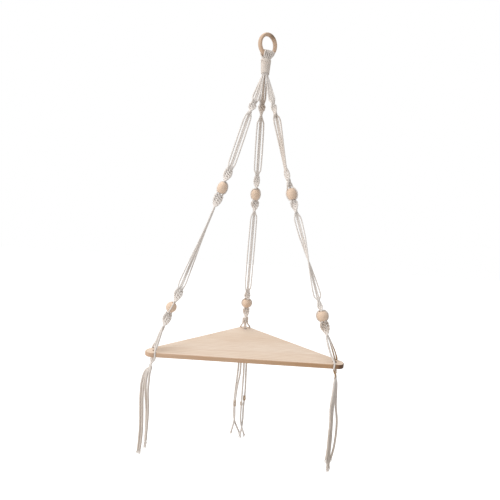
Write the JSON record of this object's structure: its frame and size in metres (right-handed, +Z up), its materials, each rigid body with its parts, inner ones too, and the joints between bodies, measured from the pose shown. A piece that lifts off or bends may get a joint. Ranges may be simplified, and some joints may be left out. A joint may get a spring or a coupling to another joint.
{
  "type": "hanging corner shelf",
  "caption": "Triangular wooden corner shelf hung by its corners from knotted cotton cords that meet in a wrapped bundle under a wooden ring, with beads on the cords and loose ends below.",
  "frame": {"origin": "top of the ring's eye, where a hook bears", "axes": "+Z up, +X along the board's long front edge to the right as seen from the room, -Y towards the room"},
  "size_m": [0.4523, 0.236, 1.0356],
  "materials": {
    "ring_wood": "satin",
    "board_wood": "matte",
    "bead_wood": "satin",
    "cotton": "matte"
  },
  "bodies": {
    "ring": {"hanging_ring": "ring_wood"},
    "sling": {"ring_loop_1": "cotton", "ring_loop_2": "cotton", "ring_loop_3": "cotton", "ring_loop_4": "cotton", "ring_loop_5": "cotton", "ring_loop_6": "cotton"},
    "suspension": {"wrapping_cord": "cotton", "shelf_board": "board_wood", "left_filler_cord_a": "cotton", "left_filler_cord_b": "cotton", "left_working_cord_a": "cotton", "left_working_cord_b": "cotton", "right_filler_cord_a": "cotton", "right_filler_cord_b": "cotton", "right_working_cord_a": "cotton", "right_working_cord_b": "cotton", "back_filler_cord_a": "cotton", "back_filler_cord_b": "cotton", "back_working_cord_a": "cotton", "back_working_cord_b": "cotton", "left_tail_1": "cotton", "left_tail_2": "cotton", "left_tail_3": "cotton", "left_tail_4": "cotton", "right_tail_1": "cotton", "right_tail_2": "cotton", "right_tail_3": "cotton", "right_tail_4": "cotton", "back_tail_1": "cotton", "back_tail_2": "cotton", "back_tail_3": "cotton", "back_tail_4": "cotton"},
    "left_upper_bead": {"left_upper_bead": "bead_wood"},
    "left_lower_bead": {"left_lower_bead": "bead_wood"},
    "right_upper_bead": {"right_upper_bead": "bead_wood"},
    "right_lower_bead": {"right_lower_bead": "bead_wood"},
    "back_upper_bead": {"back_upper_bead": "bead_wood"},
    "back_lower_bead": {"back_lower_bead": "bead_wood"}
  },
  "joints": [
    {"name": "ring_turn", "type": "hinge", "parent": "ring", "child": "sling", "pos_m": [-0.00098, 0.00146, -0.01676], "axis": [0.5561, -0.8245, -0.1045], "range_deg": [-90, 90]},
    {"name": "ring_swing", "type": "hinge", "parent": "sling", "child": "suspension", "pos_m": [-0.00219, 0.00324, -0.03719], "axis": [0.829, 0.5592, 0], "range_deg": [-90, 90], "deforming": ["ring_loop_1", "ring_loop_2", "ring_loop_3", "ring_loop_4", "ring_loop_5", "ring_loop_6"]},
    {"name": "left_upper_bead_spin", "type": "hinge", "parent": "suspension", "child": "left_upper_bead", "pos_m": [-0.07942, -0.02339, -0.33776], "axis": [-0.3034, -0.0978, -0.9478], "continuous": true},
    {"name": "left_lower_bead_spin", "type": "hinge", "parent": "suspension", "child": "left_lower_bead", "pos_m": [-0.17261, -0.05123, -0.60768], "axis": [-0.3034, -0.0978, -0.9478], "continuous": true},
    {"name": "right_upper_bead_spin", "type": "hinge", "parent": "suspension", "child": "right_upper_bead", "pos_m": [0.076, -0.02361, -0.33981], "axis": [0.3037, -0.0977, -0.9478], "continuous": true},
    {"name": "right_lower_bead_spin", "type": "hinge", "parent": "suspension", "child": "right_lower_bead", "pos_m": [0.16326, -0.05095, -0.60495], "axis": [0.3037, -0.0977, -0.9478], "continuous": true},
    {"name": "back_upper_bead_spin", "type": "hinge", "parent": "suspension", "child": "back_upper_bead", "pos_m": [-0.00215, 0.05877, -0.34221], "axis": [0.0001, 0.2068, -0.9784], "continuous": true},
    {"name": "back_lower_bead_spin", "type": "hinge", "parent": "suspension", "child": "back_lower_bead", "pos_m": [-0.00324, 0.11932, -0.62871], "axis": [0.0001, 0.2068, -0.9784], "continuous": true}
  ]
}
